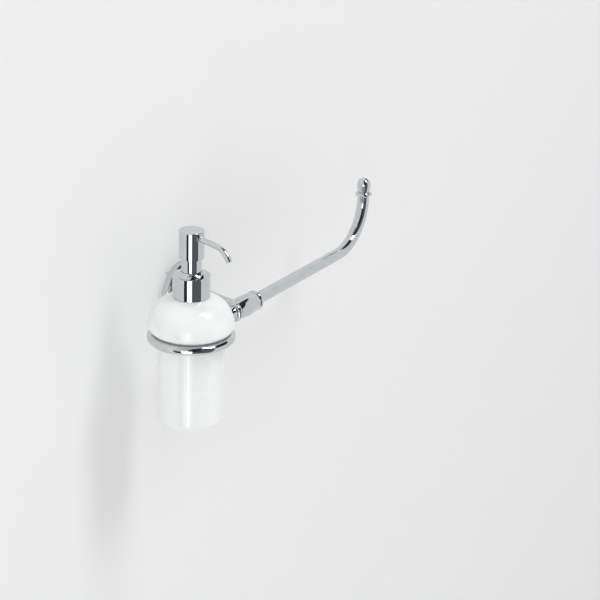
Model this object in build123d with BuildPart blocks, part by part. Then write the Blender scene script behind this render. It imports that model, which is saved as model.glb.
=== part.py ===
from build123d import *
import os
from math import acos, cos, degrees, radians, sin, sqrt

# Wall mounted soap dispenser with a towel arm. Millimetres, +Z up. The origin is the centre of the
# rosette on the wall, +X runs along the wall towards the towel arm and -Y comes out of the wall.

# Fits
slip_fit = 0.05  # radial gap of a piece that is screwed, pressed or brazed into another
running_fit = 0.08  # radial gap of a shaft that slides or turns
seat_gap = 0.1  # gap of a flat seat that lifts or turns apart
rest_gap = 0.3  # gap of a curved seat, and of a sleeve in a wide hole
quarter_angle = 90.0  # arc of a quarter circle, in degrees

# Wall plate, rosette and post
axis_reach = 76.4  # wall to the plane that holds the ring, the tee and the arm
rosette_r = 29.6
rosette_rise = 11.0
rosette_lean = 0.4  # how far the side leans in on its way up
rosette_camber = 0.2
rosette_round = 4.0
rosette_rim = 4.4
rosette_wall = 2.5
plate_t = 4.0
plate_screw_spacing = 30.0
plate_screw_r = 2.5
plate_sink_r = 4.5
plate_sink_angle = 90.0
grub_r = 1.5
grub_sunk = 1.0
post_foot_r = 12.0
post_foot_edge = 1.0
post_tip_r = 3.5
post_draw = 2.0  # how far the middle of the post is drawn in from a straight cone
post_tail_r = 4.0
post_spigot_r = 2.8
post_spigot_in = 8.0
washer_r = 8.0
washer_t = 1.0
nut_r = 7.5  # to the corners
nut_sides = 6
nut_t = 4.0
nut_room = 2.0
thread_end = 0.5  # screwed end that stands past its nut

# Tee, ring and towel arm
barrel_length = 30.0
barrel_end_r = 8.9
barrel_bulge = 1.5
bead_r = 9.9
bead_t = 5.5
tee_bore_depth = 9.0
tube_r = 6.0
tube_wall = 1.0
arm_reach = 220.2  # post to the upright end of the arm
arm_bend_r = 48.6
arm_grip = 20.0  # length of the spigot inside the arm
finial_bead_r = 8.3
finial_bead_t = 4.2
knob_r = 6.9
knob_neck_r = 5.6
knob_height = 15.0
knob_stud_r = 3.5
knob_stud = 12.0  # length of the stud inside the bead and the arm
ring_offset = 87.1  # post to the axis of the ring and bottle
ring_r = 36.2  # to the middle of the bar
ring_rod_r = 4.2
stem_shoulder_r = 7.2
stem_shoulder_t = 2.0
stem_neck_inset = 0.5  # neck radius below the radius of the ring's bar
stem_neck_length = 4.0

# Bottle
ring_clearance = 1.2
bottle_drop = 83.1  # ring plane to the underside of the foot
heel_r = 6.0
foot_land = 2.8  # flat width of the foot ring
foot_recess = 1.2
floor_t = 5.0
inner_heel_r = 4.0
glaze_wall = 3.5
dome_overlap = 3.0  # widest circle of the dome beyond the middle of the ring's bar
dome_base = 11.4  # level of the dome's widest circle
shoulder_r = 27.6  # arc of the dome's flank
crown_r = 67.5  # arc of the dome's flatter top
seat_inset = 1.2  # outer edge of the seat cone inside the middle of the ring's bar
inner_seat = 2.0  # level where the inside widens into the dome
neck_wall = 3.4
neck_rise = 11.1  # rim of the neck above the crown of the dome

# Pump
stroke = 12.0
sleeve_r = 9.15
sleeve_wall = 0.8
sleeve_entry = 2.0  # sleeve inside the collar at rest
sleeve_grip = 5.0
cup_wall = 0.9
cup_floor_t = 1.2
cup_spare = 1.2  # room left under the sleeve at the end of the stroke
gasket_t = 1.0
flange_t = 1.4
liner_wall = 1.75
liner_web_t = 1.4
liner_lift = 1.0  # lower edge of the liner above the lower edge of its shell
thread_room = 0.4
shell_t = 0.8
collar_headroom = 2.4
lip_rim = 0.5  # wall of the lip at its top edge
lip_height = 4.0
lip_flare = 3.5  # foot of the lip beyond its top edge
lip_bulge = 0.25
cylinder_r = 6.5
cylinder_wall = 1.2
cylinder_depth = 36.0
cylinder_floor_t = 1.6
cap_room = 0.7
cap_flange_t = 1.2
cap_plug = 4.0
piston_height = 6.0
stem_r = 3.5
stem_bore_r = 1.7
stem_foot_r = 5.4
stem_foot_t = 1.5
stem_port_r = 0.9
stem_port_rise = 2.0
spring_r = 4.7
spring_wire_r = 0.45
spring_turns = 7
cage_t = 1.6
cage_eye_r = 1.3
cage_notch_r = 0.7
cage_circle_r = 1.9
cage_notches = 3
ball_r = 2.4
ball_room = 0.5
chamber_height = 6.0
orifice_r = 1.6
orifice_length = 2.0
dip_r = 3.5
dip_bore_r = 2.5
dip_grip = 6.0
dip_clear = 3.0  # end of the dip tube above the bottle's floor
nose_wall = 1.1
head_gap = 16.6  # top of the collar to the underside of the head
head_height = 25.8
head_step = 2.45  # head radius beyond the sleeve's
head_round = 0.6
core_recess = 1.0
stem_grip = 8.0
nozzle_r = 2.65
nozzle_bore_r = 1.7
nozzle_drop = 5.0  # below the top of the head
nozzle_root = 1.5  # inner end of the nozzle, from the head's axis
nozzle_straight = 30.0  # from the head's axis to the start of the bend
nozzle_bend_r = 19.4
nozzle_bend_angle = 52.0
nozzle_tip = 3.2
nozzle_turn_angle = 10.0  # from straight out of the wall towards the free side of the bottle
nozzle_droop_angle = 4.0  # slope of the straight run

# Sizes that follow, wall to arm
plate_r = rosette_r - rosette_rim - slip_fit
plate_eye_r = nut_r + nut_room
rosette_bore_r = plate_r + slip_fit
rosette_bore_depth = plate_t + rest_gap
rosette_under = rosette_rise - rosette_wall
tail_hole_r = post_tail_r + slip_fit
post_foot_top = rosette_rise + post_foot_edge
post_tail_end = rosette_under - washer_t - nut_t - thread_end
spigot_r = tube_r - tube_wall - slip_fit
barrel_half = barrel_length / 2
barrel_mid_r = barrel_end_r + barrel_bulge
tee_bore_r = spigot_r + slip_fit
spigot_end = barrel_half - tee_bore_depth + seat_gap
bead_face = barrel_half + bead_t
knob_bore_r = knob_stud_r + slip_fit
knob_base = arm_bend_r + finial_bead_t
knob_waist = knob_base + knob_height - knob_r
stem_neck_r = ring_rod_r - stem_neck_inset
ring_outer_r = ring_r + ring_rod_r

# Sizes that follow, bottle
body_r = ring_r - ring_rod_r - ring_clearance
foot_r = body_r - heel_r - foot_land
bottle_bottom = -bottle_drop
bottle_floor = bottle_bottom + floor_t
seat_edge_r = ring_r - seat_inset
seat_shift = (ring_rod_r + rest_gap) * sqrt(2) - ring_r  # level of the 45 degree seat cone, less its radius
seat_low = body_r + seat_shift
seat_edge = seat_edge_r + seat_shift
inner_body_r = body_r - glaze_wall
dome_r = ring_r + dome_overlap
flank_x = dome_r - shoulder_r
dome_turn = acos(flank_x / (crown_r - shoulder_r))  # angle where the flank meets the flatter top
crown_centre = dome_base - (crown_r - shoulder_r) * sin(dome_turn)
cup_r = sleeve_r + rest_gap
cup_outer_r = cup_r + cup_wall
mouth_r = cup_outer_r + rest_gap
neck_r = mouth_r + neck_wall
neck_top = crown_centre + crown_r + neck_rise

# Sizes that follow, pump
liner_bore_r = neck_r + thread_room
liner_r = liner_bore_r + liner_wall
collar_bore_r = liner_r + slip_fit
collar_r = collar_bore_r + shell_t
collar_bottom = crown_centre + sqrt(crown_r**2 - collar_bore_r**2) + rest_gap
gasket_bottom = neck_top + seat_gap
flange_bottom = gasket_bottom + gasket_t
flange_top = flange_bottom + flange_t
web_bottom = flange_top + seat_gap
web_top = web_bottom + liner_web_t
collar_under = web_top + collar_headroom
collar_top = collar_under + shell_t
lip_top = collar_top + lip_height
lip_top_r = cup_r + lip_rim
lip_foot_r = lip_top_r + lip_flare
sleeve_bottom = collar_top - sleeve_entry
cup_floor = sleeve_bottom - stroke - cup_spare
cylinder_outer_r = cylinder_r + cylinder_wall
cylinder_floor = cup_floor - cylinder_depth
seat_top = cylinder_floor - chamber_height
chamber_r = ball_r + ball_room
socket_top = seat_top - orifice_length
nose_bottom = socket_top - dip_grip
nose_r = dip_r + slip_fit + nose_wall
cap_r = sleeve_r - sleeve_wall - cap_room
piston_top = cup_floor - cap_plug - seat_gap
piston_bottom = piston_top - piston_height
stem_bottom = piston_bottom - seat_gap - stem_foot_t
cage_top = cylinder_floor + cage_t
ball_height = seat_top - orifice_r + ball_r * sqrt(2) + rest_gap
spring_bottom = cage_top + spring_wire_r + seat_gap
spring_height = stem_bottom - seat_gap - spring_wire_r - spring_bottom
head_r = sleeve_r + head_step
head_bottom = collar_top + head_gap
head_top = head_bottom + head_height
core_bottom = head_bottom + core_recess
core_top = head_top - shell_t - seat_gap
core_r = head_r - shell_t - slip_fit
stem_top = core_bottom + stem_grip
nozzle_height = head_top - nozzle_drop

# Profile planes, drawn as radius and distance along the axis
wall_profile = Plane(origin=(0, 0, 0), x_dir=(1, 0, 0), z_dir=(0, 0, -1))
tee_profile = Plane(origin=(0, -axis_reach, 0), x_dir=(0, 0, 1), z_dir=(0, 1, 0))
tee_axis = Axis((0, -axis_reach, 0), (1, 0, 0))
bottle_profile = Plane(origin=(-ring_offset, -axis_reach, 0), x_dir=(1, 0, 0), z_dir=(0, -1, 0))
bottle_axis = Axis((-ring_offset, -axis_reach, 0), (0, 0, 1))
finial_profile = Plane(origin=(arm_reach, -axis_reach, 0), x_dir=(1, 0, 0), z_dir=(0, -1, 0))
finial_axis = Axis((arm_reach, -axis_reach, 0), (0, 0, 1))
nozzle_away = Vector(-sin(radians(nozzle_turn_angle)), -cos(radians(nozzle_turn_angle)), 0)
nozzle_fall = Vector(0, 0, -sin(radians(nozzle_droop_angle)))
nozzle_out = nozzle_away * cos(radians(nozzle_droop_angle)) + nozzle_fall
nozzle_profile = Plane(
    origin=(-ring_offset, -axis_reach, nozzle_height),
    x_dir=nozzle_out,
    z_dir=nozzle_away.cross(Vector(0, 0, 1)),
)


def barrel_outline(grow):
    """Half outline of the tee, fuller in the middle, with its skin larger by grow."""
    with BuildSketch(tee_profile) as outline:
        with BuildLine():
            ThreePointArc(
                (barrel_end_r + grow, -barrel_half),
                (barrel_mid_r + grow, 0),
                (barrel_end_r + grow, barrel_half),
            )
            Polyline(
                (barrel_end_r + grow, barrel_half),
                (0, barrel_half),
                (0, -barrel_half),
                (barrel_end_r + grow, -barrel_half),
            )
        make_face()
    return outline.sketch


def turn_bead(profile, axis, start, thickness, outer_r, bore_r):
    """Turn a ring with a half-round rim that a spigot passes through."""
    rim_r = outer_r - thickness / 2
    end = start + thickness
    with BuildPart() as bead:
        with BuildSketch(profile):
            with BuildLine():
                Polyline((rim_r, start), (bore_r, start), (bore_r, end), (rim_r, end))
                ThreePointArc((rim_r, end), (outer_r, start + thickness / 2), (rim_r, start))
            make_face()
        revolve(axis=axis)
    return bead


# Wall plate
with BuildPart() as wall_plate:
    with BuildSketch(Plane.XZ):
        Circle(plate_r)
        Circle(plate_eye_r, mode=Mode.SUBTRACT)
    extrude(amount=plate_t)
    with Locations(Plane.XZ.offset(plate_t)):
        with GridLocations(plate_screw_spacing, plate_screw_spacing, 2, 1):
            CounterSinkHole(plate_screw_r, plate_sink_r, counter_sink_angle=plate_sink_angle)

# Rosette, a round-edged cap over the plate
grub_plane = Plane(origin=(0, -plate_t / 2, -plate_r), z_dir=(0, 0, -1))
with BuildPart() as rosette:
    with BuildSketch(wall_profile):
        with BuildLine():
            FilletPolyline(
                (rosette_r, 0),
                (rosette_r - rosette_lean, rosette_rise - rosette_camber),
                (post_foot_r, rosette_rise),
                radius=rosette_round,
            )
            Polyline(
                (post_foot_r, rosette_rise),
                (tail_hole_r, rosette_rise),
                (tail_hole_r, rosette_under),
                (post_foot_r, rosette_under),
            )
            EllipticalCenterArc(
                (post_foot_r, rosette_bore_depth),
                rosette_bore_r - post_foot_r,
                rosette_under - rosette_bore_depth,
                0,
                arc_size=quarter_angle,
            )
            Polyline((rosette_bore_r, rosette_bore_depth), (rosette_bore_r, 0), (rosette_r, 0))
        make_face()
    revolve(axis=Axis.Y)
    with BuildSketch(grub_plane):
        Circle(grub_r + slip_fit)
    extrude(amount=rosette_rim + seat_gap, mode=Mode.SUBTRACT)

with BuildPart() as rosette_set_screw:
    with BuildSketch(grub_plane.offset(slip_fit)):
        Circle(grub_r)
    extrude(amount=rosette_rim - grub_sunk)

# Post, from the rosette to the tee, with a saddle end
with BuildPart() as post:
    with BuildSketch(wall_profile):
        with BuildLine():
            Polyline(
                (0, post_tail_end),
                (post_tail_r, post_tail_end),
                (post_tail_r, rosette_rise),
                (post_foot_r, rosette_rise),
                (post_foot_r, post_foot_top),
            )
            ThreePointArc(
                (post_foot_r, post_foot_top),
                ((post_foot_r + post_tip_r) / 2 - post_draw, (post_foot_top + axis_reach) / 2),
                (post_tip_r, axis_reach),
            )
            Polyline((post_tip_r, axis_reach), (0, axis_reach), (0, post_tail_end))
        make_face()
    revolve(axis=Axis.Y)
    revolve(barrel_outline(slip_fit), axis=tee_axis, mode=Mode.SUBTRACT)
    with BuildSketch(Plane.XZ.offset(axis_reach - barrel_mid_r - post_spigot_r)):
        Circle(post_spigot_r)
    extrude(amount=post_spigot_r + post_spigot_in)

with BuildPart() as post_washer:
    with BuildSketch(Plane.XZ.offset(rosette_under - washer_t)):
        Circle(washer_r)
        Circle(tail_hole_r, mode=Mode.SUBTRACT)
    extrude(amount=washer_t)

with BuildPart() as post_nut:
    with BuildSketch(Plane.XZ.offset(rosette_under - washer_t - nut_t)):
        RegularPolygon(nut_r, nut_sides)
        Circle(tail_hole_r, mode=Mode.SUBTRACT)
    extrude(amount=nut_t)

# Tee, bored from three sides, and the beads at its ends
with BuildPart() as tee_barrel:
    revolve(barrel_outline(0), axis=tee_axis)
    for side in (-1, 1):
        with BuildSketch(Plane(origin=(side * barrel_half, -axis_reach, 0), z_dir=(-side, 0, 0))):
            Circle(tee_bore_r)
        extrude(amount=tee_bore_depth, mode=Mode.SUBTRACT)
    with BuildSketch(Plane.XZ.offset(axis_reach - barrel_mid_r)):
        Circle(post_spigot_r + slip_fit)
    extrude(amount=post_spigot_in + seat_gap, mode=Mode.SUBTRACT)

ring_bead = turn_bead(tee_profile, tee_axis, -bead_face, bead_t, bead_r, tee_bore_r)
arm_bead = turn_bead(tee_profile, tee_axis, barrel_half, bead_t, bead_r, tee_bore_r)

# Ring, and the stem that carries it
with BuildPart() as holder_ring:
    with BuildSketch(bottle_profile):
        with Locations((ring_r, 0)):
            Circle(ring_rod_r)
    revolve(axis=bottle_axis)

with BuildPart() as ring_stem:
    with BuildSketch(tee_profile):
        with BuildLine():
            Polyline(
                (0, ring_r - ring_offset),
                (0, -spigot_end),
                (spigot_r, -spigot_end),
                (spigot_r, -bead_face),
                (stem_shoulder_r, -bead_face),
                (stem_shoulder_r, -bead_face - stem_shoulder_t),
            )
            TangentArc(
                (stem_neck_r, ring_outer_r - ring_offset + stem_neck_length),
                (stem_shoulder_r, -bead_face - stem_shoulder_t),
                tangent=(0, 1),
            )
            Polyline(
                (stem_neck_r, ring_outer_r - ring_offset + stem_neck_length),
                (stem_neck_r, ring_r - ring_offset),
                (0, ring_r - ring_offset),
            )
        make_face()
    revolve(axis=tee_axis)
    with BuildSketch(bottle_profile):
        with Locations((ring_r, 0)):
            Circle(ring_rod_r + slip_fit)
    revolve(axis=bottle_axis, mode=Mode.SUBTRACT)

# Towel arm and its finial
with BuildPart() as arm_spigot:
    with BuildSketch(Plane(origin=(spigot_end, -axis_reach, 0), z_dir=(1, 0, 0))):
        Circle(spigot_r)
    extrude(amount=bead_face + arm_grip - spigot_end)

with BuildPart() as arm_tube:
    with BuildLine(Plane.XZ.offset(axis_reach)):
        Line((bead_face, 0), (arm_reach - arm_bend_r, 0))
        CenterArc((arm_reach - arm_bend_r, arm_bend_r), arm_bend_r, -quarter_angle, quarter_angle)
    with BuildSketch(Plane(origin=(bead_face, -axis_reach, 0), z_dir=(1, 0, 0))):
        Circle(tube_r)
        Circle(tube_r - tube_wall, mode=Mode.SUBTRACT)
    sweep()

finial_bead = turn_bead(
    finial_profile, finial_axis, arm_bend_r, finial_bead_t, finial_bead_r, knob_bore_r
)

with BuildPart() as finial_knob:
    with BuildSketch(finial_profile):
        with BuildLine():
            Polyline(
                (0, knob_base + knob_height),
                (0, knob_base - knob_stud),
                (knob_stud_r, knob_base - knob_stud),
                (knob_stud_r, knob_base),
                (knob_neck_r, knob_base),
            )
            TangentArc((knob_r, knob_waist), (knob_neck_r, knob_base), tangent=(0, -1))
            CenterArc((0, knob_waist), knob_r, 0, quarter_angle)
        make_face()
    revolve(axis=finial_axis)

# Bottle, one hollow piece that hangs in the ring by its dome
with BuildPart() as bottle:
    turn = degrees(dome_turn)
    inner_flank_r = shoulder_r - glaze_wall
    inner_crown_r = crown_r - glaze_wall
    neck_angle = degrees(acos(neck_r / crown_r))
    mouth_angle = degrees(acos(mouth_r / inner_crown_r))
    with BuildSketch(bottle_profile):
        with BuildLine():
            Polyline(
                (0, bottle_floor),
                (0, bottle_bottom + foot_recess),
                (foot_r, bottle_bottom + foot_recess),
                (foot_r, bottle_bottom),
                (body_r - heel_r, bottle_bottom),
            )
            CenterArc((body_r - heel_r, bottle_bottom + heel_r), heel_r, -quarter_angle, quarter_angle)
            Polyline((body_r, bottle_bottom + heel_r), (body_r, seat_low), (seat_edge_r, seat_edge))
            TangentArc((dome_r, dome_base), (seat_edge_r, seat_edge), tangent=(0, -1))
            CenterArc((flank_x, dome_base), shoulder_r, 0, turn)
            CenterArc((0, crown_centre), crown_r, turn, neck_angle - turn)
            Polyline(
                (neck_r, crown_centre + crown_r * sin(radians(neck_angle))),
                (neck_r, neck_top),
                (mouth_r, neck_top),
                (mouth_r, crown_centre + inner_crown_r * sin(radians(mouth_angle))),
            )
            CenterArc((0, crown_centre), inner_crown_r, turn, mouth_angle - turn)
            CenterArc((flank_x, dome_base), inner_flank_r, 0, turn)
            Polyline(
                (dome_r - glaze_wall, dome_base),
                (inner_body_r, inner_seat),
                (inner_body_r, bottle_floor + inner_heel_r),
            )
            CenterArc(
                (inner_body_r - inner_heel_r, bottle_floor + inner_heel_r),
                inner_heel_r,
                -quarter_angle,
                quarter_angle,
            )
            Line((inner_body_r - inner_heel_r, bottle_floor), (0, bottle_floor))
        make_face()
    revolve(axis=bottle_axis)

# Pump body: gasket, housing, guide bush, ball cage, ball and dip tube
with BuildPart() as neck_gasket:
    with BuildSketch(bottle_profile):
        with Locations(((cup_outer_r + slip_fit + neck_r) / 2, gasket_bottom + gasket_t / 2)):
            Rectangle(neck_r - cup_outer_r - slip_fit, gasket_t)
    revolve(axis=bottle_axis)

with BuildPart() as pump_housing:
    with BuildSketch(bottle_profile):
        with BuildLine():
            Polyline(
                (cup_r, flange_top),
                (neck_r, flange_top),
                (neck_r, flange_bottom),
                (cup_outer_r, flange_bottom),
                (cup_outer_r, cup_floor - cup_floor_t),
                (cylinder_outer_r, cup_floor - cup_floor_t),
                (cylinder_outer_r, cylinder_floor - cylinder_floor_t),
                (nose_r, cylinder_floor - cylinder_floor_t),
                (nose_r, nose_bottom),
                (dip_r + slip_fit, nose_bottom),
                (dip_r + slip_fit, socket_top),
                (orifice_r, socket_top),
                (orifice_r, seat_top),
                (chamber_r, seat_top + chamber_r - orifice_r),
                (chamber_r, cylinder_floor),
                (cylinder_r, cylinder_floor),
                (cylinder_r, cup_floor),
                (cup_r, cup_floor),
                close=True,
            )
        make_face()
    revolve(axis=bottle_axis)

with BuildPart() as housing_cap:
    with BuildSketch(bottle_profile):
        with BuildLine():
            Polyline(
                (stem_r + running_fit, cup_floor - cap_plug),
                (cylinder_r - slip_fit, cup_floor - cap_plug),
                (cylinder_r - slip_fit, cup_floor),
                (cap_r, cup_floor),
                (cap_r, cup_floor + cap_flange_t),
                (stem_r + running_fit, cup_floor + cap_flange_t),
                close=True,
            )
        make_face()
    revolve(axis=bottle_axis)

with BuildPart() as ball_cage:
    with BuildSketch(Plane(origin=(-ring_offset, -axis_reach, cylinder_floor))):
        Circle(cylinder_r - slip_fit)
        Circle(cage_eye_r, mode=Mode.SUBTRACT)
        with PolarLocations(cage_circle_r, cage_notches):
            Circle(cage_notch_r, mode=Mode.SUBTRACT)
    extrude(amount=cage_t)

with BuildPart() as inlet_ball:
    with Locations((-ring_offset, -axis_reach, ball_height)):
        Sphere(ball_r)

with BuildPart() as dip_tube:
    with BuildSketch(Plane(origin=(-ring_offset, -axis_reach, bottle_floor + dip_clear))):
        Circle(dip_r)
        Circle(dip_bore_r, mode=Mode.SUBTRACT)
    extrude(amount=socket_top - seat_gap - bottle_floor - dip_clear)

# Collar: a chrome shell with a flared lip round the sleeve, over a screwed liner
with BuildPart() as collar_shell:
    with BuildSketch(bottle_profile):
        with BuildLine():
            Polyline(
                (lip_top_r, lip_top),
                (cup_r, lip_top),
                (cup_r, collar_under),
                (collar_bore_r, collar_under),
                (collar_bore_r, collar_bottom),
                (collar_r, collar_bottom),
                (collar_r, collar_top),
                (lip_foot_r, collar_top),
            )
            ThreePointArc(
                (lip_foot_r, collar_top),
                ((lip_top_r + lip_foot_r) / 2 + lip_bulge, (collar_top + lip_top) / 2 + lip_bulge),
                (lip_top_r, lip_top),
            )
        make_face()
    revolve(axis=bottle_axis)

with BuildPart() as collar_liner:
    with BuildSketch(bottle_profile):
        with BuildLine():
            Polyline(
                (liner_bore_r, collar_bottom + liner_lift),
                (liner_r, collar_bottom + liner_lift),
                (liner_r, collar_under),
                (liner_bore_r, collar_under),
                (liner_bore_r, web_top),
                (cup_r, web_top),
                (cup_r, web_bottom),
                (liner_bore_r, web_bottom),
                close=True,
            )
        make_face()
    revolve(axis=bottle_axis)

# Plunger: stem with a closed foot and side ports, piston and return spring
with BuildPart() as pump_stem:
    with BuildSketch(bottle_profile):
        with BuildLine():
            Polyline(
                (0, stem_bottom),
                (stem_foot_r, stem_bottom),
                (stem_foot_r, stem_bottom + stem_foot_t),
                (stem_r, stem_bottom + stem_foot_t),
                (stem_r, stem_top),
                (stem_bore_r, stem_top),
                (stem_bore_r, stem_bottom + stem_foot_t),
                (0, stem_bottom + stem_foot_t),
                close=True,
            )
        make_face()
    revolve(axis=bottle_axis)
    port_height = stem_bottom + stem_foot_t + stem_port_rise
    with BuildSketch(Plane(origin=(-ring_offset, -axis_reach, port_height), z_dir=(1, 0, 0))):
        Circle(stem_port_r)
    extrude(amount=stem_r, both=True, mode=Mode.SUBTRACT)

with BuildPart() as piston:
    with BuildSketch(Plane(origin=(-ring_offset, -axis_reach, piston_bottom))):
        Circle(cylinder_r - running_fit)
        Circle(stem_r + slip_fit, mode=Mode.SUBTRACT)
    extrude(amount=piston_height)

with BuildPart() as return_spring:
    with BuildLine():
        coil = Helix(
            pitch=spring_height / spring_turns,
            height=spring_height,
            radius=spring_r,
            center=(-ring_offset, -axis_reach, spring_bottom),
        )
    with BuildSketch(Plane(origin=coil @ 0, z_dir=coil % 0)):
        Circle(spring_wire_r)
    sweep(is_frenet=True)

# Head: chrome shell, moulded core, sleeve and nozzle
nozzle_start = Plane(origin=nozzle_profile.from_local_coords((nozzle_root, 0, 0)), z_dir=nozzle_out)
with BuildSketch(nozzle_start) as nozzle_hole:
    Circle(nozzle_r + slip_fit)

with BuildPart() as head_shell:
    with BuildSketch(bottle_profile):
        with BuildLine():
            Polyline(
                (0, head_top),
                (0, head_top - shell_t),
                (head_r - shell_t, head_top - shell_t),
                (head_r - shell_t, head_bottom),
                (head_r, head_bottom),
                (head_r, head_top - head_round),
            )
            CenterArc((head_r - head_round, head_top - head_round), head_round, 0, quarter_angle)
            Line((head_r - head_round, head_top), (0, head_top))
        make_face()
    revolve(axis=bottle_axis)
    extrude(nozzle_hole.sketch, amount=head_r, mode=Mode.SUBTRACT)

with BuildPart() as head_core:
    with BuildSketch(bottle_profile):
        with BuildLine():
            Polyline(
                (stem_r + running_fit, core_bottom),
                (sleeve_r - sleeve_wall - slip_fit, core_bottom),
                (sleeve_r - sleeve_wall - slip_fit, core_bottom + sleeve_grip),
                (sleeve_r + slip_fit, core_bottom + sleeve_grip),
                (sleeve_r + slip_fit, core_bottom),
                (core_r, core_bottom),
                (core_r, core_top),
                (0, core_top),
                (0, nozzle_height),
                (stem_bore_r, nozzle_height),
                (stem_bore_r, stem_top + seat_gap),
                (stem_r + running_fit, stem_top + seat_gap),
                close=True,
            )
        make_face()
    revolve(axis=bottle_axis)
    extrude(nozzle_hole.sketch, amount=head_r, mode=Mode.SUBTRACT)

with BuildPart() as stem_sleeve:
    with BuildSketch(Plane(origin=(-ring_offset, -axis_reach, sleeve_bottom))):
        Circle(sleeve_r)
        Circle(sleeve_r - sleeve_wall, mode=Mode.SUBTRACT)
    extrude(amount=core_bottom + sleeve_grip - seat_gap - sleeve_bottom)

with BuildPart() as nozzle:
    with BuildLine(nozzle_profile):
        Line((nozzle_root, 0), (nozzle_straight, 0))
        bend = CenterArc(
            (nozzle_straight, -nozzle_bend_r), nozzle_bend_r, quarter_angle, -nozzle_bend_angle
        )
        Line(bend @ 1, bend @ 1 + (bend % 1) * nozzle_tip)
    with BuildSketch(nozzle_start):
        Circle(nozzle_r)
        Circle(nozzle_bore_r, mode=Mode.SUBTRACT)
    sweep()

pieces = {
    "wall_plate": wall_plate,
    "rosette": rosette,
    "rosette_set_screw": rosette_set_screw,
    "post": post,
    "post_washer": post_washer,
    "post_nut": post_nut,
    "tee_barrel": tee_barrel,
    "ring_bead": ring_bead,
    "arm_bead": arm_bead,
    "ring_stem": ring_stem,
    "holder_ring": holder_ring,
    "arm_spigot": arm_spigot,
    "arm_tube": arm_tube,
    "finial_bead": finial_bead,
    "finial_knob": finial_knob,
    "bottle": bottle,
    "neck_gasket": neck_gasket,
    "pump_housing": pump_housing,
    "housing_cap": housing_cap,
    "ball_cage": ball_cage,
    "inlet_ball": inlet_ball,
    "dip_tube": dip_tube,
    "collar_shell": collar_shell,
    "collar_liner": collar_liner,
    "pump_stem": pump_stem,
    "piston": piston,
    "return_spring": return_spring,
    "head_shell": head_shell,
    "head_core": head_core,
    "stem_sleeve": stem_sleeve,
    "nozzle": nozzle,
}
os.makedirs("parts", exist_ok=True)
for label, piece in pieces.items():
    piece.part.label = label
    export_step(piece.part, f"parts/{label}.step")
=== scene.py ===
import bpy
import math
from mathutils import Matrix, Vector


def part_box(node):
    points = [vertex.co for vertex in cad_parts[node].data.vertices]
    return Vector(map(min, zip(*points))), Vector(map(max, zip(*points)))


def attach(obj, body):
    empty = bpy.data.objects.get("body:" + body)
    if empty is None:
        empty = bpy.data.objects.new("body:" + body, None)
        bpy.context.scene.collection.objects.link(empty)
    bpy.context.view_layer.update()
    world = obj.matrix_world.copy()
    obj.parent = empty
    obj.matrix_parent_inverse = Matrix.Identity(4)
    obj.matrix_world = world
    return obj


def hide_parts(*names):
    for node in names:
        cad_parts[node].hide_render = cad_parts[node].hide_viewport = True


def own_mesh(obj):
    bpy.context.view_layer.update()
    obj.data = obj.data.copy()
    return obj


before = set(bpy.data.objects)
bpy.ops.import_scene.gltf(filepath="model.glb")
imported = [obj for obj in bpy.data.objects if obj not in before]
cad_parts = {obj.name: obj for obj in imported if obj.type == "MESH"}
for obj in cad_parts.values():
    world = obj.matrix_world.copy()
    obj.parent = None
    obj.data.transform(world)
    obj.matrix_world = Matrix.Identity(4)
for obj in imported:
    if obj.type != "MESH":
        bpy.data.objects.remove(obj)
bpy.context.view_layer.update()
scene = bpy.context.scene

# Camera, at the photograph's angle. Lengths are in metres here and below.
CAMERA_AZIMUTH = math.radians(-58.733)
CAMERA_HEIGHT = math.radians(21.596)
CAMERA_ROLL = math.radians(1.410)
CAMERA_PLACE = Vector((-1.52933, -1.06645, 0.72857))
CAMERA_CLIP_START = 0.05
FOCAL_PIXELS = 2089.0
IMAGE_PIXELS = 600.0
SENSOR_MM = 36.0

# Room
WALL_LEFT = -0.33
WALL_RIGHT = 1.5
WALL_TOP = 0.95
WALL_GAP = 0.0004
FLOOR_LEVEL = -0.95
FLOOR_SIDE = 2.0
FLOOR_FRONT = -2.6
FLOOR_BACK = 1.5
WALL_COLOUR = (0.88, 0.883, 0.881)
FLOOR_COLOUR = (0.86, 0.863, 0.861)
BACKGROUND_COLOUR = (0.80, 0.803, 0.801)

# Rays shorter than this pass through wall and floor, so that the back of the rosette isn't black
STAGE_REACH = 0.006

# Screw thread on the bottle's neck: its section is (reach from the neck, height)
THREAD_SECTION = ((-0.0001, 0.0009), (0.0003, 0.0003), (0.0003, -0.0003), (-0.0001, -0.0009))
THREAD_START = 0.002
THREAD_PITCH = 0.0032
THREAD_TURNS = 1.6
THREAD_STEPS = 160
THREAD_FADE = 0.08

# Bottle's foot: the glaze ends between these two heights, along an uneven edge
FOOT_GLAZE_END = -0.0816
FOOT_BARE_START = -0.0822
FOOT_EDGE_WANDER = 0.0006

# Colours of the part
PLATING = (0.63, 0.65, 0.66)
GLAZE = (0.90, 0.91, 0.905)
GLAZE_MOTTLE = (0.875, 0.89, 0.895)
CLAY = (0.80, 0.78, 0.73)
CLAY_GRIT = (0.70, 0.68, 0.63)
ROLLED_STEEL = (0.56, 0.57, 0.58)
SPRING_STEEL = (0.60, 0.61, 0.62)
BRASS = (0.72, 0.55, 0.28)
BRASS_TARNISH = (0.48, 0.34, 0.16)
WHITE_PLASTIC = (0.84, 0.84, 0.82)
NATURAL_PLASTIC = (0.80, 0.82, 0.82)
RUBBER = (0.025, 0.025, 0.026)
RUBBER_BLOOM = (0.06, 0.06, 0.062)

# How far red, green and blue light spreads inside the plastic
PLASTIC_SPREAD = (0.004, 0.004, 0.004)

# Directions into the studio, in degrees. A turn of 0 is -X, along the wall past its left end,
# and 90 is -Y, straight out of the wall. Rise is the height above level.
TO_DEGREES = math.degrees(1.0)

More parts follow.
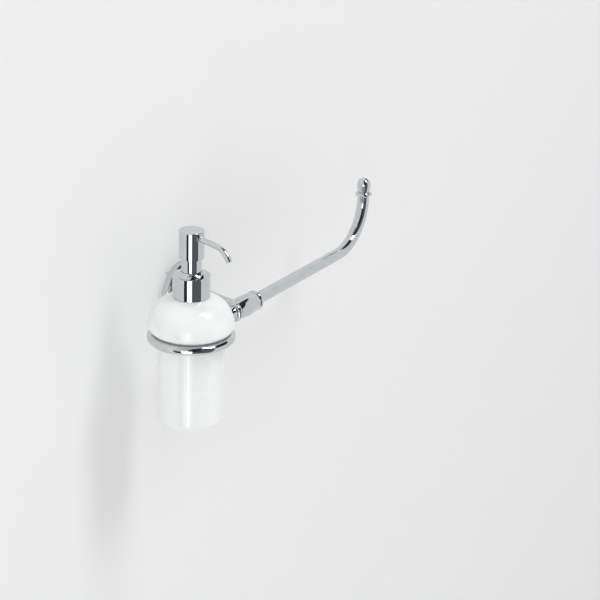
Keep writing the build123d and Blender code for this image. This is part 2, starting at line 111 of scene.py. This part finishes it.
# Even light for matt surfaces, from the sides and from above, with the rise where one meets the other
AMBIENT_SIDE = (0.65, 0.65, 0.65)
AMBIENT_TOP = (0.77, 0.77, 0.77)
AMBIENT_BLEND = (20.0, 50.0)

# What the chrome reflects: an open studio, with the turn where its left side meets its right side
OPEN_LEFT = (1.0, 1.01, 1.03)
OPEN_RIGHT = (0.79, 0.81, 0.82)
OPEN_BLEND = (60.0, 120.0)

# Grey and dark panels in it, a later one over an earlier one.
# Each: turn from, turn to, rise from, rise to, softness of the edge, colour.
STUDIO_PANELS = (
    (-14.0, 37.0, 0.0, 56.0, 3.0, (0.74, 0.75, 0.76)),
    (-70.0, 37.0, 58.0, 92.0, 4.0, (0.33, 0.34, 0.35)),
    (36.0, 200.0, 39.0, 80.0, 1.5, (0.045, 0.05, 0.058)),
    (36.5, 96.0, -50.0, 45.0, 1.5, (0.12, 0.13, 0.145)),
    (26.0, 60.0, 3.0, 50.0, 3.0, (0.025, 0.03, 0.04)),
    (-12.0, 9.0, -48.0, 0.0, 1.0, (0.03, 0.035, 0.05)),
)

# The one white panel, over all of these. It lights matt surfaces too.
LIT_PANEL = (9.0, 37.0, -48.0, 7.0, 1.0, (2.15, 2.15, 2.15))

# Small cards that only reflections see. Each: name, node that it is set up for, distance from the
# middle of that node, colour, and the turn and rise of its corners seen from there, anticlockwise.
CARDS = (
    ("tee_card", "tee_barrel", 0.25, (0.025, 0.028, 0.034),
     ((76.0, 30.0), (94.0, 46.0), (142.0, 46.0), (142.0, 40.0),
      (126.0, 26.0), (118.0, 18.0), (76.0, 14.0))),
    ("arm_card", "finial_bead", 0.10, (0.42, 0.43, 0.44),
     ((2.0, -7.0), (42.0, -7.0), (42.0, -52.0), (2.0, -52.0))),
    ("rosette_card", "rosette", 0.12, (0.85, 0.86, 0.86),
     ((70.0, 75.0), (101.0, 75.0), (101.0, 46.0), (70.0, 46.0))),
    ("nozzle_card", "nozzle", 0.11, (1.6, 1.6, 1.6),
     ((105.5, 40.0), (139.0, 42.5), (128.0, 22.5), (106.0, 21.0))),
)

# Lamps, both turned to one point. Each: name, place, width, height, power in watts.
LAMP_TARGET = Vector((-0.08, -0.08, 0.0))
LAMPS = (
    ("key_softbox", Vector((0.495, -2.255, 3.55)), 0.90, 1.85, 57.0),
    ("low_strip", Vector((-1.19, -0.60, -0.42)), 0.07, 0.80, 1.2),
)


def add_camera():
    """Place the camera by the direction it looks back along, with a small roll."""
    back = Vector((
        math.sin(CAMERA_AZIMUTH) * math.cos(CAMERA_HEIGHT),
        -math.cos(CAMERA_AZIMUTH) * math.cos(CAMERA_HEIGHT),
        math.sin(CAMERA_HEIGHT),
    ))
    right = Vector((math.cos(CAMERA_AZIMUTH), math.sin(CAMERA_AZIMUTH), 0.0))
    up = back.cross(right)
    side = math.cos(CAMERA_ROLL) * right + math.sin(CAMERA_ROLL) * up
    top = -math.sin(CAMERA_ROLL) * right + math.cos(CAMERA_ROLL) * up
    data = bpy.data.cameras.new("camera")
    data.sensor_fit = "HORIZONTAL"
    data.sensor_width = SENSOR_MM
    data.lens = FOCAL_PIXELS / IMAGE_PIXELS * SENSOR_MM
    data.clip_start = CAMERA_CLIP_START
    camera = bpy.data.objects.new("camera", data)
    matrix = Matrix((side, top, back)).transposed().to_4x4()
    matrix.translation = CAMERA_PLACE
    camera.matrix_world = matrix
    scene.collection.objects.link(camera)
    scene.camera = camera


class Nodes:
    """Short names for making and linking shader nodes in one tree."""

    def __init__(self, tree):
        self.tree = tree
        self.tree.nodes.clear()

    def add(self, kind, **settings):
        node = self.tree.nodes.new(kind)
        for name, value in settings.items():
            setattr(node, name, value)
        return node

    def feed(self, socket, value):
        if isinstance(value, bpy.types.NodeSocket):
            self.tree.links.new(value, socket)
        elif isinstance(value, tuple) and socket.type == "RGBA":
            socket.default_value = (*value, 1.0)
        else:
            socket.default_value = value

    def math(self, operation, first, second=0.0):
        node = self.add("ShaderNodeMath", operation=operation)
        self.feed(node.inputs[0], first)
        self.feed(node.inputs[1], second)
        return node.outputs[0]

    def plus(self, value, other, times):
        return self.math("ADD", value, self.math("MULTIPLY", other, times))

    def remap(self, value, low, high, to_low=0.0, to_high=1.0):
        node = self.add("ShaderNodeMapRange", interpolation_type="SMOOTHSTEP")
        self.feed(node.inputs["Value"], value)
        self.feed(node.inputs["From Min"], low)
        self.feed(node.inputs["From Max"], high)
        self.feed(node.inputs["To Min"], to_low)
        self.feed(node.inputs["To Max"], to_high)
        return node.outputs["Result"]

    def mix(self, factor, first, second):
        node = self.add("ShaderNodeMix", data_type="RGBA")
        start, end = (socket for socket in node.inputs if socket.type == "RGBA")
        self.feed(node.inputs["Factor"], factor)
        self.feed(start, first)
        self.feed(end, second)
        return next(socket for socket in node.outputs if socket.type == "RGBA")

    def noise(self, where, scale, detail, roughness):
        node = self.add("ShaderNodeTexNoise")
        self.feed(node.inputs["Vector"], where)
        self.feed(node.inputs["Scale"], scale)
        self.feed(node.inputs["Detail"], detail)
        self.feed(node.inputs["Roughness"], roughness)
        return node.outputs["Fac"]

    def streaks(self, where, stretch, detail, roughness):
        """Noise that is drawn out along the axes with the smaller numbers."""
        node = self.add("ShaderNodeMapping")
        self.feed(node.inputs["Vector"], where)
        self.feed(node.inputs["Scale"], stretch)
        return self.noise(node.outputs["Vector"], 1.0, detail, roughness)

    def bump(self, height, strength, distance, normal=None):
        node = self.add("ShaderNodeBump")
        self.feed(node.inputs["Height"], height)
        self.feed(node.inputs["Strength"], strength)
        self.feed(node.inputs["Distance"], distance)
        if normal is not None:
            self.feed(node.inputs["Normal"], normal)
        return node.outputs["Normal"]

    def place(self):
        return self.add("ShaderNodeTexCoord").outputs["Object"]

    def split(self, where):
        node = self.add("ShaderNodeSeparateXYZ")
        self.feed(node.inputs[0], where)
        return node.outputs

    def backfacing(self):
        return self.add("ShaderNodeNewGeometry").outputs["Backfacing"]

    def end(self, shader, kind="ShaderNodeOutputMaterial"):
        output = self.add(kind)
        self.feed(output.inputs["Surface"], shader.outputs[0])

    def surface(self, **values):
        shader = self.add("ShaderNodeBsdfPrincipled")
        for name, value in values.items():
            self.feed(shader.inputs[name.replace("_", " ")], value)
        self.end(shader)

    def partly_clear(self, shader, clear):
        """End the tree with a shader that is see-through where clear is 1."""
        mixer = self.add("ShaderNodeMixShader")
        self.feed(mixer.inputs[0], clear)
        self.feed(mixer.inputs[1], shader.outputs[0])
        self.feed(mixer.inputs[2], self.add("ShaderNodeBsdfTransparent").outputs[0])
        self.end(mixer)


def new_material(name):
    material = bpy.data.materials.new(name)
    material.use_nodes = True
    return material, Nodes(material.node_tree)


def shade(colour, share):
    return tuple(share * part for part in colour)


def chrome(name, shift):
    """Polished plating: a slow ripple, faint smears and fine lines. The shift varies the pattern."""
    material, n = new_material(name)
    where = n.place()
    smear = n.noise(where, scale=90.0 + shift, detail=4.0, roughness=0.6)
    smear = n.remap(smear, low=0.45, high=0.75)
    lines = n.streaks(where, stretch=(2600.0, 2600.0, 300.0), detail=2.0, roughness=0.6)
    colour = n.mix(smear, PLATING, shade(PLATING, 0.94))
    rough = n.remap(smear, low=0.0, high=1.0, to_low=0.03, to_high=0.065)
    rough = n.plus(rough, lines, times=0.012)
    ripple = n.noise(where, scale=45.0 + shift, detail=1.0, roughness=0.4)
    normal = n.bump(ripple, strength=0.10, distance=0.0006)
    normal = n.bump(lines, strength=0.02, distance=0.00002, normal=normal)
    n.surface(Base_Color=colour, Metallic=1.0, Roughness=rough, Normal=normal)
    return material


def ceramic():
    """White glaze with slow waves and faint mottling, and a bare, gritty foot ring."""
    material, n = new_material("white_glaze")
    where = n.place()
    height = n.split(where)["Z"]
    mottle = n.noise(where, scale=55.0, detail=4.0, roughness=0.55)
    glaze = n.mix(n.remap(mottle, low=0.35, high=0.7), GLAZE, GLAZE_MOTTLE)
    edge = n.plus(height, mottle, times=FOOT_EDGE_WANDER)
    bare = n.remap(edge, low=FOOT_GLAZE_END, high=FOOT_BARE_START)
    grit = n.noise(where, scale=1400.0, detail=5.0, roughness=0.7)
    colour = n.mix(bare, glaze, n.mix(grit, CLAY, CLAY_GRIT))
    rough = n.remap(mottle, low=0.3, high=0.7, to_low=0.07, to_high=0.12)
    rough = n.plus(rough, bare, times=0.6)
    wave = n.noise(where, scale=28.0, detail=2.0, roughness=0.4)
    normal = n.bump(wave, strength=0.12, distance=0.0012)
    grit_strength = n.math("MULTIPLY", bare, 0.5)
    normal = n.bump(grit, strength=grit_strength, distance=0.0002, normal=normal)
    n.surface(Base_Color=colour, Roughness=rough, Normal=normal, IOR=1.52)
    return material


def steel(name, base):
    """Plain rolled or ground steel with directional grain and dull stains."""
    material, n = new_material(name)
    where = n.place()
    grain = n.streaks(where, stretch=(300.0, 2500.0, 2500.0), detail=3.0, roughness=0.6)
    stain = n.noise(where, scale=120.0, detail=4.0, roughness=0.6)
    stain = n.remap(stain, low=0.4, high=0.75)
    colour = n.mix(stain, base, shade(base, 0.8))
    rough = n.remap(stain, low=0.0, high=1.0, to_low=0.22, to_high=0.38)
    rough = n.plus(rough, grain, times=0.12)
    normal = n.bump(grain, strength=0.25, distance=0.00004)
    n.surface(Base_Color=colour, Metallic=1.0, Roughness=rough, Normal=normal)
    return material


def brass():
    """Turned brass with tool marks and patches of tarnish."""
    material, n = new_material("turned_brass")
    where = n.place()
    tarnish = n.noise(where, scale=150.0, detail=5.0, roughness=0.65)
    tarnish = n.remap(tarnish, low=0.4, high=0.8)
    turning = n.streaks(where, stretch=(400.0, 4000.0, 400.0), detail=2.0, roughness=0.5)
    colour = n.mix(tarnish, BRASS, BRASS_TARNISH)
    rough = n.remap(tarnish, low=0.0, high=1.0, to_low=0.2, to_high=0.45)
    rough = n.plus(rough, turning, times=0.1)
    normal = n.bump(turning, strength=0.3, distance=0.00004)
    n.surface(Base_Color=colour, Metallic=1.0, Roughness=rough, Normal=normal)
    return material


def plastic(name, base, clarity):
    """Moulded polyolefin: soft sheen, fine texture and faint flow marks."""
    material, n = new_material(name)
    where = n.place()
    flow = n.streaks(where, stretch=(60.0, 60.0, 18.0), detail=4.0, roughness=0.6)
    texture = n.noise(where, scale=2200.0, detail=3.0, roughness=0.6)
    colour = n.mix(n.remap(flow, low=0.35, high=0.7), base, shade(base, 0.93))
    rough = n.remap(flow, low=0.3, high=0.7, to_low=0.34, to_high=0.46)
    rough = n.plus(rough, texture, times=0.08)
    normal = n.bump(texture, strength=0.12, distance=0.00004)
    n.surface(Base_Color=colour, Roughness=rough, Normal=normal, Subsurface_Weight=0.25,
              Subsurface_Radius=PLASTIC_SPREAD, Subsurface_Scale=clarity)
    return material


def rubber():
    """Dull black rubber with a fine grain and a pale bloom."""
    material, n = new_material("black_rubber")
    where = n.place()
    bloom = n.noise(where, scale=260.0, detail=4.0, roughness=0.6)
    bloom = n.remap(bloom, low=0.45, high=0.8)
    grain = n.noise(where, scale=3000.0, detail=3.0, roughness=0.6)
    colour = n.mix(bloom, RUBBER, RUBBER_BLOOM)
    rough = n.remap(bloom, low=0.0, high=1.0, to_low=0.55, to_high=0.75)
    normal = n.bump(grain, strength=0.3, distance=0.00005)
    n.surface(Base_Color=colour, Roughness=rough, Normal=normal)
    return material


def dress(material, *names):
    for name in names:
        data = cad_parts[name].data
        data.materials.clear()
        data.materials.append(material)


def dress_all():
    dress(chrome("chrome_rosette", shift=0.0), "rosette")
    dress(chrome("chrome_post", shift=5.0), "post", "tee_barrel", "ring_bead", "arm_bead", "ring_stem")
    dress(chrome("chrome_ring", shift=9.0), "holder_ring")
    dress(chrome("chrome_arm", shift=14.0), "arm_tube", "finial_bead", "finial_knob")
    dress(chrome("chrome_pump", shift=20.0), "collar_shell", "head_shell", "stem_sleeve", "nozzle")
    dress(ceramic(), "bottle")
    dress(steel("rolled_steel", ROLLED_STEEL), "wall_plate", "rosette_set_screw")
    dress(steel("spring_steel", SPRING_STEEL), "return_spring", "inlet_ball")
    dress(brass(), "post_washer", "post_nut", "arm_spigot")
    dress(plastic("white_plastic", WHITE_PLASTIC, clarity=0.6), "pump_housing", "housing_cap",
          "ball_cage", "collar_liner", "pump_stem", "piston", "head_core")
    dress(plastic("natural_plastic", NATURAL_PLASTIC, clarity=1.0), "dip_tube")
    dress(rubber(), "neck_gasket")


def add_spring():
    """A copy of the return spring with a mesh of its own, attached to the pump's body in place of the
    hidden original.
    """
    coil = bpy.data.objects.new("spring_coil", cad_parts["return_spring"].data.copy())
    scene.collection.objects.link(coil)
    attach(coil, "pump")
    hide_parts("return_spring")
    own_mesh(coil)


def add_thread():
    """The glazed thread on the bottle's neck, which shows once the pump is out."""
    low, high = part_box("neck_gasket")
    middle = (low + high) / 2.0
    neck = (high.x - low.x) / 2.0
    count = len(THREAD_SECTION)
    points = []
    for step in range(THREAD_STEPS + 1):
        share = step / THREAD_STEPS
        turn = 2.0 * math.pi * THREAD_TURNS * share
        level = low.z - THREAD_START - THREAD_PITCH * THREAD_TURNS * share
        full = min(1.0, share / THREAD_FADE, (1.0 - share) / THREAD_FADE)
        for reach, height in THREAD_SECTION:
            radius = neck + (reach * full if reach > 0.0 else reach)
            x = middle.x + radius * math.cos(turn)
            y = middle.y + radius * math.sin(turn)
            points.append((x, y, level + height))
    faces = [tuple(range(count)), tuple(reversed(range(len(points) - count, len(points))))]
    for first in range(0, len(points) - count, count):
        for side in range(count):
            after = (side + 1) % count
            faces.append((first + side, first + count + side, first + count + after, first + after))
    mesh = bpy.data.meshes.new("neck_thread")
    mesh.from_pydata(points, [], faces)
    mesh.polygons.foreach_set("use_smooth", [True] * len(faces))
    mesh.materials.append(bpy.data.materials["white_glaze"])
    thread = bpy.data.objects.new("neck_thread", mesh)
    scene.collection.objects.link(thread)
    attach(thread, "bottle")


def stage_material(name, base):
    """A plain pale surface.

    The camera sees through it from behind, and it doesn't darken what stands against it.
    """
    material, n = new_material(name)
    where = n.place()
    cloud = n.noise(where, scale=2.2, detail=3.0, roughness=0.5)
    tooth = n.noise(where, scale=900.0, detail=2.0, roughness=0.5)
    diffuse = n.add("ShaderNodeBsdfDiffuse")
    n.feed(diffuse.inputs["Color"], n.mix(cloud, base, shade(base, 0.985)))
    n.feed(diffuse.inputs["Normal"], n.bump(tooth, strength=0.05, distance=0.0001))
    path = n.add("ShaderNodeLightPath").outputs
    behind = n.math("MULTIPLY", n.backfacing(), path["Is Camera Ray"])
    against = n.math("LESS_THAN", path["Ray Length"], STAGE_REACH)
    n.partly_clear(diffuse, n.math("MAXIMUM", behind, against))
    return material


def card_material(name, colour):
    """An even glow on the front, and nothing on the back."""
    material, n = new_material(name)
    glow = n.add("ShaderNodeEmission")
    n.feed(glow.inputs["Color"], colour)
    n.partly_clear(glow, n.backfacing())
    return material


def sheet(name, corners, material):
    mesh = bpy.data.meshes.new(name)
    mesh.from_pydata(corners, [], [tuple(range(len(corners)))])
    mesh.materials.append(material)
    piece = bpy.data.objects.new(name, mesh)
    scene.collection.objects.link(piece)
    return piece


def add_room():
    """The wall behind the part, and a floor far below it that the chrome doesn't reflect."""
    wall = [
        (WALL_LEFT, WALL_GAP, FLOOR_LEVEL),
        (WALL_RIGHT, WALL_GAP, FLOOR_LEVEL),
        (WALL_RIGHT, WALL_GAP, WALL_TOP),
        (WALL_LEFT, WALL_GAP, WALL_TOP),
    ]
    floor = [
        (-FLOOR_SIDE, FLOOR_FRONT, FLOOR_LEVEL),
        (FLOOR_SIDE, FLOOR_FRONT, FLOOR_LEVEL),
        (FLOOR_SIDE, FLOOR_BACK, FLOOR_LEVEL),
        (-FLOOR_SIDE, FLOOR_BACK, FLOOR_LEVEL),
    ]
    sheet("wall", wall, stage_material("wall_paint", WALL_COLOUR))
    ground = sheet("floor", floor, stage_material("floor_paint", FLOOR_COLOUR))
    ground.visible_glossy = False


def direction(turn, rise):
    turn = math.radians(turn)
    rise = math.radians(rise)
    level = math.cos(rise)
    return Vector((-math.cos(turn) * level, -math.sin(turn) * level, math.sin(rise)))


def add_card(name, node, reach, colour, corners):
    """A flat card in front of a node. Only reflections see it, and only from the node's side."""
    low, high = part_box(node)
    middle = (low + high) / 2.0
    ways = [direction(turn, rise) for turn, rise in corners]
    facing = sum(ways, Vector()).normalized()
    places = [middle + way * (reach / way.dot(facing)) for way in ways]
    card = sheet(name, places, card_material(name + "_glow", colour))
    card.visible_camera = False
    card.visible_diffuse = False
    card.visible_shadow = False


def add_world():
    """The studio for reflections, an even light for matt surfaces, and a plain background."""
    world = bpy.data.worlds.new("studio")
    world.use_nodes = True
    scene.world = world
    n = Nodes(world.node_tree)
    x, y, z = n.split(n.add("ShaderNodeTexCoord").outputs["Generated"])
    out = n.math("MULTIPLY", y, -1.0)
    left = n.math("MULTIPLY", x, -1.0)
    turn = n.math("MULTIPLY", n.math("ARCTAN2", out, left), TO_DEGREES)
    rise = n.math("MULTIPLY", n.math("ARCSINE", z), TO_DEGREES)

    def add_panel(under, turn_from, turn_to, rise_from, rise_to, soft, colour):
        area = n.remap(turn, turn_from - soft, turn_from + soft)
        area = n.math("MULTIPLY", area, n.remap(turn, turn_to + soft, turn_to - soft))
        area = n.math("MULTIPLY", area, n.remap(rise, rise_from - soft, rise_from + soft))
        area = n.math("MULTIPLY", area, n.remap(rise, rise_to + soft, rise_to - soft))
        return n.mix(area, under, colour)

    studio = n.mix(n.remap(turn, *OPEN_BLEND), OPEN_LEFT, OPEN_RIGHT)
    for panel in STUDIO_PANELS:
        studio = add_panel(studio, *panel)
    ambient = n.mix(n.remap(rise, *AMBIENT_BLEND), AMBIENT_SIDE, AMBIENT_TOP)
    path = n.add("ShaderNodeLightPath").outputs
    light = n.mix(path["Is Diffuse Ray"], studio, ambient)
    light = add_panel(light, *LIT_PANEL)
    background = n.add("ShaderNodeBackground")
    n.feed(background.inputs["Color"], n.mix(path["Is Camera Ray"], light, BACKGROUND_COLOUR))
    n.end(background, "ShaderNodeOutputWorld")


def add_lamp(name, place, width, height, watts):
    data = bpy.data.lights.new(name, "AREA")
    data.shape = "RECTANGLE"
    data.size = width
    data.size_y = height
    data.energy = watts
    lamp = bpy.data.objects.new(name, data)
    lamp.location = place
    lamp.rotation_euler = (LAMP_TARGET - place).to_track_quat("-Z", "Y").to_euler()
    lamp.visible_camera = False
    scene.collection.objects.link(lamp)


add_camera()
dress_all()
add_spring()
add_thread()
add_room()
for card in CARDS:
    add_card(*card)
add_world()
for lamp in LAMPS:
    add_lamp(*lamp)

scene.view_settings.view_transform = "Standard"
